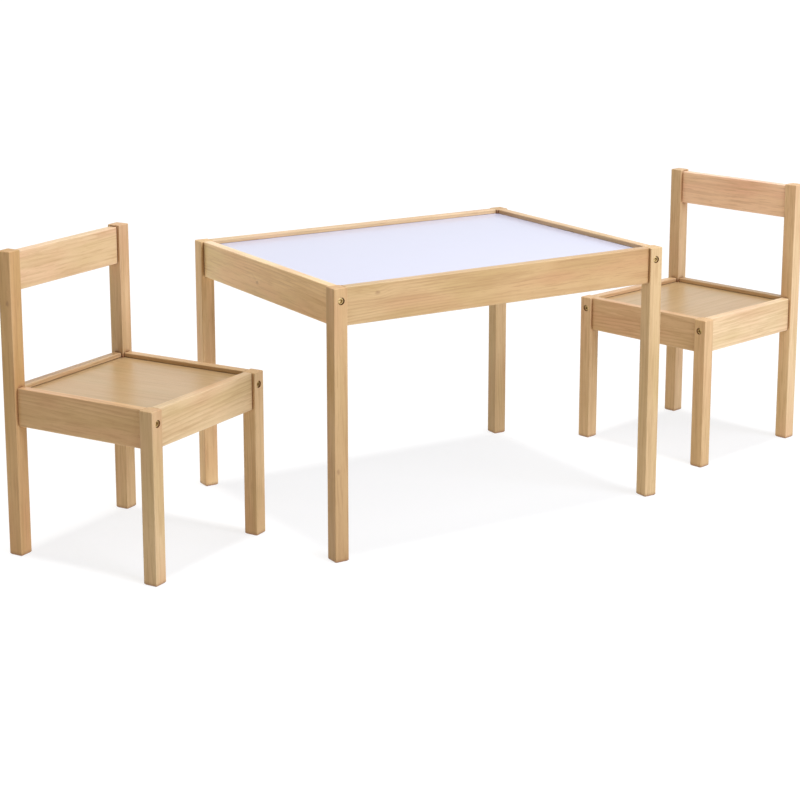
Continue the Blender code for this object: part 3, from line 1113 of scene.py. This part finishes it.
    def bore(self, whole: bmesh.types.BMesh, corner: Corner) -> None:
        """Add one bolt's stepped hole and its barrel nut's pocket to the cutter.

        Args:
            whole: The cutter.
            corner: The bolt's corner.
        """
        shop = self.shop
        _, side = corner.value
        low, high = self.local_box(f"{self.name}_bolt_{corner.word}")
        axis = Vector(((low.x + high.x) / 2, 0.0, (low.z + high.z) / 2))
        head, tip = (low.y, high.y) if side < 0 else (high.y, low.y)
        seat = head - side * (self.head_height + self.gap)
        self.rod(whole, shop.head_radius + self.bore_play, axis + Vector((0, head + side * 3 * MM, 0)),
                 axis + Vector((0, seat, 0)), 48)
        self.rod(whole, shop.bolt_radius + self.gap, axis + Vector((0, seat + side * MM, 0)),
                 axis + Vector((0, tip - side * 2 * MM, 0)), 24)
        low, high = self.local_box(f"{self.name}_barrel_nut_{corner.word}")
        middle = (low + high) / 2
        inward = -1.0 if middle.x > 0 else 1.0
        far = abs(high.x - low.x) / 2
        self.rod(whole, shop.nut_radius + self.gap, middle - Vector((inward * (far + self.gap), 0, 0)),
                 middle + Vector((inward * (far + 4 * MM), 0, 0)), 32)

    @staticmethod
    def rod(whole: bmesh.types.BMesh, radius: float, start: Vector, end: Vector, sides: int) -> None:
        """Add a closed cylinder between two points.

        Args:
            whole: The solid that gets it.
            radius: Its radius.
            start: The middle of its first end.
            end: The middle of its other end.
            sides: The number of its sides.
        """
        span = end - start
        turn = Vector((0, 0, 1)).rotation_difference(span).to_matrix().to_4x4()
        place = Matrix.Translation((start + end) / 2) @ turn
        bmesh.ops.create_cone(whole, cap_ends=True, segments=sides, radius1=radius, radius2=radius,
                              depth=span.length, matrix=place)

    def groove(self, whole: bmesh.types.BMesh) -> None:
        """Add the panel, a little larger all round, to the cutter, so that it leaves its groove.

        Args:
            whole: The cutter.
        """
        low, high = self.local_box(self.panel_node)
        outline = self.panel_outline(self.groove_play)
        mesh = solid_mesh("slab", ring_loft([(low.z - self.gap, outline),
                                             (high.z + self.groove_headroom, outline)]))
        whole.from_mesh(mesh)
        bpy.data.meshes.remove(mesh)

    def panel_outline(self, play: float) -> Outline:
        """Draw the panel's outline, notched round the legs.

        Args:
            play: How far it is grown at its edges.

        Returns:
            The outline.
        """
        _, high = self.local_box(self.panel_node)
        inner = self.inner_corner()
        x, y = high.x + play, high.y + play
        nx, ny = inner.x - self.gap, inner.y - self.gap
        return [(x, ny), (nx, ny), (nx, y), (-nx, y), (-nx, ny), (-x, ny),
                (-x, -ny), (-nx, -ny), (-nx, -y), (nx, -y), (nx, -ny), (x, -ny)]

    # Pieces.

    def timber(self, node: str, grain: Grain, box: tuple[Vector, Vector], eases: Triple,
               finish: Finish) -> None:
        """Make one bar of timber for a CAD node.

        Args:
            node: The CAD node that it stands for.
            grain: Which way it runs.
            box: The lowest and highest corners of its box.
            eases: The radius of its long edges, and how far its lower or first end and its other end are
                drawn in.
            finish: Its wood.
        """
        low, high = box
        thick, wide, length = grain.section(high - low)
        edge, foot, top = eases
        self.log_number += 1
        board = self.boards.get(node.removeprefix(self.name + "_"), Board.plain(self.log_number))
        heart = (*board.heart, 3.1 * self.log_number + len(self.name))
        # The board's colours pass on painted light and shade together with its own tone.
        mesh = self.shop.bar.run(node + "_timber", {
            "Thickness": thick, "Width": wide, "Length": length, "Edge Radius": edge, "Foot Chamfer": foot,
            "Top Ease": top, "Place": (low + high) / 2, "Turn": Vector(grain.value), "Joinery": self.cutter,
            "Heart": Vector(heart), "Lean": Vector((*board.lean, 0.0)),
            "Knot": Vector(board.knot or FAR_AWAY), "Tint": Vector(board.tint),
            "First End Tint": Vector(board.tint) * Vector(board.fade), "Finish": finish.material()})
        self.keep(node + "_timber", mesh, finish, node)

    def crosspiece(self, node: str, grain: Grain, axis: int) -> None:
        """Make a rail or a slat that reaches from leg to leg.

        Args:
            node: The CAD node that it stands for.
            grain: Which way it runs.
            axis: The axis that it runs along, 0 for X and 1 for Y.
        """
        low, high = self.local_box(node)
        reach = self.inner_corner()[axis] - self.gap
        low[axis], high[axis] = -reach, reach
        self.timber(node, grain, (low, high), (self.rail_edge, self.end_ease, self.end_ease), RAIL_WOOD)

    def legs(self) -> None:
        """Make the four legs."""
        for corner in Corner:
            node = self.leg_node(corner)
            self.timber(node, Grain.UPRIGHT, self.local_box(node),
                        (self.leg_edge, self.foot_chamfer, self.top_ease), LEG_WOOD)

    def rails(self) -> None:
        """Make the four rails."""
        for side, grain, axis in (("front", Grain.ACROSS, 0), ("back", Grain.ACROSS, 0),
                                  ("left", Grain.ALONG, 1), ("right", Grain.ALONG, 1)):
            self.crosspiece(f"{self.name}_rail_{side}", grain, axis)

    def panel(self) -> None:
        """Make the panel, with its arrises just broken."""
        low, high = self.local_box(self.panel_node)
        edge, inside = self.panel_outline(0.0), self.panel_outline(-self.arris)
        mesh = solid_mesh(self.panel_node, ring_loft([(low.z, inside), (low.z + self.arris, edge),
                                                      (high.z - self.arris, edge), (high.z, inside)]))
        self.veneer_coordinates(mesh)
        mesh.materials.append(self.panel_finish.material())
        self.keep(self.panel_node + "_sheet", mesh, self.panel_finish, self.panel_node)

    def veneer_coordinates(self, mesh: bpy.types.Mesh) -> None:
        """Store a panel's grain along its depth, as a sheet sliced wide of the heart.

        Args:
            mesh: The panel's mesh.
        """
        lean = Euler(self.veneer_lean).to_matrix()
        sheet_number = 40.0 + len(self.name)
        store_coordinates(mesh, lambda p: lean @ Vector((p.x, p.z + self.veneer_depth, p.y + sheet_number)))

    def hardware(self) -> None:
        """Place the bolts, barrel nuts and dowels."""
        shop = self.shop
        low, high = self.local_box(f"{self.name}_bolt_back_right")
        bolt = shop.bolt(self.head_height, high.y - low.y - self.head_height)
        nut = shop.nut()
        middle = self.middle_of(f"{self.name}_barrel_nut_back_right")
        for fastener, plural, place, turn, side, spin, finish in (
            (bolt, "bolt", Vector(((low.x + high.x) / 2, high.y, (low.z + high.z) / 2)),
             (-math.pi / 2, 0, 0), (0, 1, 0), math.pi / 3, YELLOW_ZINC),
            (nut, "barrel_nut", middle, (0, 0, math.pi / 2), (1, 0, 0), 0.0, BRIGHT_ZINC),
        ):
            mesh = shop.fasteners.run(plural, {
                "Across": 2 * place.x, "Along": 2 * place.y, "Height": place.z, "Fastener": fastener,
                "Turn": Vector(turn), "Side": Vector(side), "Spin": spin, "Finish": finish.material()})
            self.keep(f"{self.name}_{plural}s", mesh, finish,
                      *(f"{self.name}_{plural}_{corner.word}" for corner in Corner))
            remove_object(fastener)
        for name, values in self.dowel_sets():
            mesh = shop.dowels.run(name, {**values, "Radius": self.dowel_radius,
                                          "Flute Depth": self.flute_depth, "Length": 2 * self.dowel_reach,
                                          "Finish": DOWEL_WOOD.material()})
            store_coordinates(mesh, lambda p: p)
            self.keep(f"{self.name}_{name}", mesh, DOWEL_WOOD)

    def build(self) -> None:
        """Make every piece of this furniture."""
        self.cutter = self.joinery()
        self.legs()
        self.rails()
        self.extras()
        remove_object(self.cutter)
        self.panel()
        self.hardware()
        LOG.info("%s: %d pieces", self.name, len(self.made))

    def extras(self) -> None:
        """Make what only some furniture has."""


@dataclass
class Chair(Furniture):
    """A chair: its back legs run up as posts, with a slat between them."""

    slat_drops: tuple[float, float] = (12.0 * MM, 48.0 * MM)
    groove_headroom: float = 0.9 * MM

    def leg_node(self, corner: Corner) -> str:
        """Return the name of the leg or post at a corner."""
        hand = "left" if corner.value[0] < 0 else "right"
        return f"{self.name}_{'front_leg' if corner.value[1] < 0 else 'back_post'}_{hand}"

    def dowel_sets(self) -> list[tuple[str, dict]]:
        """Work out where the dowels are, with the slat's among them.

        Returns:
            The name and the tree inputs of each set, without its radius, flutes, length and finish.
        """
        low, high = self.local_box(f"{self.name}_backrest_slat")
        slat = {"Across": 2 * self.inner_corner().x, "Along": 0.0, "Top": high.z - self.slat_drops[0],
                "Pitch": self.slat_drops[1] - self.slat_drops[0], "Count": 2,
                "Middle": (0.0, (low.y + high.y) / 2, 0.0), "Turn": (0.0, math.pi / 2, 0.0)}
        return super().dowel_sets() + [("slat_dowels", slat)]

    def extras(self) -> None:
        """Make the backrest slat."""
        self.crosspiece(f"{self.name}_backrest_slat", Grain.ACROSS, 0)


# ------------------------------------------------------------------------------------------ studio


@dataclass
class Skylight:
    """An even light from one direction, spread over part of the sky."""

    name: str
    toward: tuple[float, float, float]
    spread: float
    power: float
    colour: Colour = WHITE

    def build(self) -> None:
        """Add the lamp to the scene."""
        lamp = bpy.data.lights.new(self.name, "SUN")
        lamp.angle = self.spread
        lamp.energy = self.power
        lamp.color = self.colour
        holder = bpy.data.objects.new(self.name, lamp)
        bpy.context.scene.collection.objects.link(holder)
        holder.rotation_euler = Vector(self.toward).to_track_quat("Z", "Y").to_euler()


@dataclass
class Softbox:
    """A square lamp near the furniture that looks at a point."""

    name: str
    place: tuple[float, float, float]
    aim: tuple[float, float, float]
    size: float
    power: float
    colour: Colour = WHITE

    def build(self) -> None:
        """Add the lamp to the scene."""
        lamp = bpy.data.lights.new(self.name, "AREA")
        lamp.shape = "SQUARE"
        lamp.size = self.size
        lamp.energy = self.power
        lamp.color = self.colour
        holder = bpy.data.objects.new(self.name, lamp)
        bpy.context.scene.collection.objects.link(holder)
        holder.location = self.place
        away = Vector(self.place) - Vector(self.aim)
        holder.rotation_euler = away.to_track_quat("Z", "Y").to_euler()


@dataclass
class Studio:
    """Floor, lamps, surroundings and camera."""

    middle: Vector
    floor_radius: float = 40.0
    floor_colour: Colour = (0.25, 0.25, 0.25)
    floor_glow: float = 0.78
    floor_drop: float = 0.05 * MM
    bounce: Colour = (1.0, 0.93, 0.74)
    ambient: float = 0.06
    eye: tuple[float, float, float] = (-1.7018, -2.6420, 1.0267)
    pitch: float = math.radians(11.552)
    yaw: float = math.radians(-31.984)
    lens: float = 85.91
    sensor: float = 36.0
    rise: float = -0.1625

    def build(self) -> None:
        """Set the stage."""
        self.floor()
        self.surroundings()
        x, y = self.middle.x, self.middle.y
        Skylight("overhead", (0.0, 0.0, 1.0), math.radians(9.0), 2.25).build()
        Skylight("front", (0.42, -1.0, 0.52), math.radians(35.0), 1.62, (0.98, 1.08, 1.34)).build()
        Softbox("between", (x + 0.30, y - 0.9, 1.35), (x + 0.45, y, 0.4), 0.9, 9.0).build()
        Softbox("left", (x - 1.2, y + 1.2, 1.0), (x, y, 0.4), 0.8, 4.5, (1.0, 0.86, 0.66)).build()
        self.camera()
        bpy.context.scene.view_settings.view_transform = "Standard"

    def floor(self) -> None:
        """Lay a plain pale floor."""
        disc = bmesh.new()
        bmesh.ops.create_circle(disc, cap_ends=True, segments=96, radius=self.floor_radius)
        mesh = solid_mesh("studio_floor", disc)
        plain = bpy.data.materials.new("studio_floor")
        plain.use_nodes = True
        shader = plain.node_tree.nodes["Principled BSDF"]
        graph = Graph(plain.node_tree)
        seen = graph.add("ShaderNodeLightPath").outputs["Is Camera Ray"]
        for key, value in (("Base Color", (*self.floor_colour, 1.0)), ("Roughness", 0.9),
                           ("Specular IOR Level", 0.1), ("Emission Strength", self.floor_glow),
                           ("Emission Color", graph.mix(self.bounce, WHITE, seen))):
            graph.drive(shader, key, value)
        mesh.materials.append(plain)
        mesh.transform(Matrix.Translation((0.0, 0.0, -self.floor_drop)))
        add_object("studio_floor", mesh)

    def surroundings(self) -> None:
        """Give the room an even white surround that lights the furniture only a little."""
        world = bpy.data.worlds.new("studio")
        bpy.context.scene.world = world
        world.use_nodes = True
        graph = Graph(world.node_tree)
        ground = world.node_tree.nodes["Background"]
        path = graph.add("ShaderNodeLightPath").outputs
        seen = graph.math("MAXIMUM", path["Is Camera Ray"], path["Is Glossy Ray"])
        strength = graph.math("MULTIPLY_ADD", seen, 1.0 - self.ambient, self.ambient)
        graph.drive(ground, "Strength", strength)
        graph.drive(ground, "Color", (*WHITE, 1.0))

    def camera(self) -> None:
        """Stand the camera at the height of a small child's eyes and a little to the left."""
        lens = bpy.data.cameras.new("camera")
        lens.lens = self.lens
        lens.sensor_width = self.sensor
        lens.shift_y = self.rise
        lens.clip_end = 200.0
        camera = bpy.data.objects.new("camera", lens)
        bpy.context.scene.collection.objects.link(camera)
        camera.location = Vector(self.eye) + self.middle
        camera.rotation_euler = (math.pi / 2 - self.pitch, 0.0, self.yaw)
        bpy.context.scene.camera = camera


# The colours given to these boards, and how they change along them, hold painted light and shade set to how
# brightly each board is lit, besides its own tone.
TABLE_BOARDS = {
    "leg_front_left": Board((0.052, 0.021), (0.010, 0.016), (-0.006, -0.011, -0.070), (0.97, 0.96, 0.94),
                            (0.77, 0.71, 0.65)),
    "leg_front_right": Board((-0.044, 0.030), (0.012, -0.010), tint=(1.0, 1.04, 1.08)),
    "leg_back_left": Board((0.020, 0.055), (-0.014, 0.010), tint=(1.18, 1.20, 1.22)),
    "leg_back_right": Board((0.047, -0.028), (0.010, 0.020), tint=(0.94, 0.95, 1.00),
                            fade=(0.80, 0.80, 0.74)),
    "rail_front": Board((0.012, 0.082), (0.022, 0.030), (-0.0075, 0.015, -0.235), (0.85, 0.80, 0.74),
                        (1.08, 1.16, 1.24)),
    "rail_left": Board((-0.024, 0.012), (0.012, 0.038), (0.0075, -0.006, 0.02), (1.52, 1.80, 2.20),
                       (0.84, 0.72, 0.59)),
    "rail_back": Board((0.020, 0.060), (-0.018, 0.020), (0.006, 0.030, -0.10), (1.06, 1.08, 1.12)),
    "rail_right": Board((0.028, 0.050), (0.015, -0.020), tint=(1.04, 1.06, 1.10)),
}
# As for the table, these colours hold painted light and shade besides each board's own tone.
LEFT_BOARDS = {
    "front_leg_left": Board((0.034, 0.040), (0.012, 0.014), tint=(0.98, 1.02, 1.08)),
    "back_post_left": Board((0.050, 0.018), (0.014, -0.012), (-0.012, -0.004, 0.16), (0.93, 0.85, 0.74)),
    "back_post_right": Board((-0.040, 0.034), (-0.010, 0.014), tint=(1.02, 1.03, 1.08)),
    "rail_left": Board((-0.022, 0.010), (0.012, 0.040), tint=(1.00, 0.95, 0.92)),
    "rail_front": Board((0.050, 0.050), (0.018, -0.022), tint=(1.00, 1.07, 1.16)),
    "backrest_slat": Board((0.019, -0.006), (0.008, -0.036), tint=(1.20, 1.28, 1.46)),
}
# As for the table, these colours hold painted light and shade besides each board's own tone.
RIGHT_BOARDS = {
    "front_leg_left": Board((0.030, 0.044), (0.010, 0.012), tint=(0.98, 0.99, 1.06)),
    "front_leg_right": Board((0.048, 0.016), (0.015, 0.010), tint=(1.06, 1.04, 1.08),
                             fade=(0.88, 0.88, 0.80)),
    "back_post_left": Board((0.038, -0.040), (0.012, -0.016), tint=(1.00, 1.01, 1.08)),
    "back_post_right": Board((0.050, 0.025), (0.010, 0.014), tint=(1.14, 1.20, 1.32)),
    "rail_right": Board((0.034, 0.046), (0.014, 0.018), tint=(1.20, 1.32, 1.54)),
    "rail_front": Board((0.022, -0.012), (0.010, 0.040), tint=(1.00, 0.98, 1.02)),
    "backrest_slat": Board((0.020, 0.008), (0.012, 0.040), tint=(1.46, 1.47, 1.92)),
}


def slide_heading(joint: str) -> float:
    """Return the heading of a chair from the axis of its slide."""
    axis = next(j["axis"] for j in frame["joints"] if j["name"] == joint)
    return math.atan2(axis[1], axis[0])


def main() -> None:
    """Build the table, the chairs and the studio."""
    logging.basicConfig(level=logging.INFO, format="%(name)s: %(message)s")
    shop = Workshop()
    table = Furniture(shop, "table", TABLE_BOARDS, "table_top_panel", WHITE_LAMINATE)
    left = Chair(shop, "left_chair", LEFT_BOARDS, "left_chair_seat_panel", SEAT_VENEER,
                 slide_heading("left_chair_slide"))
    right = Chair(shop, "right_chair", RIGHT_BOARDS, "right_chair_seat_panel", SEAT_VENEER,
                  slide_heading("right_chair_slide"))
    for furniture in (table, left, right):
        furniture.build()
    Studio(table.placement.translation.copy()).build()


if __name__ == "__main__":
    main()
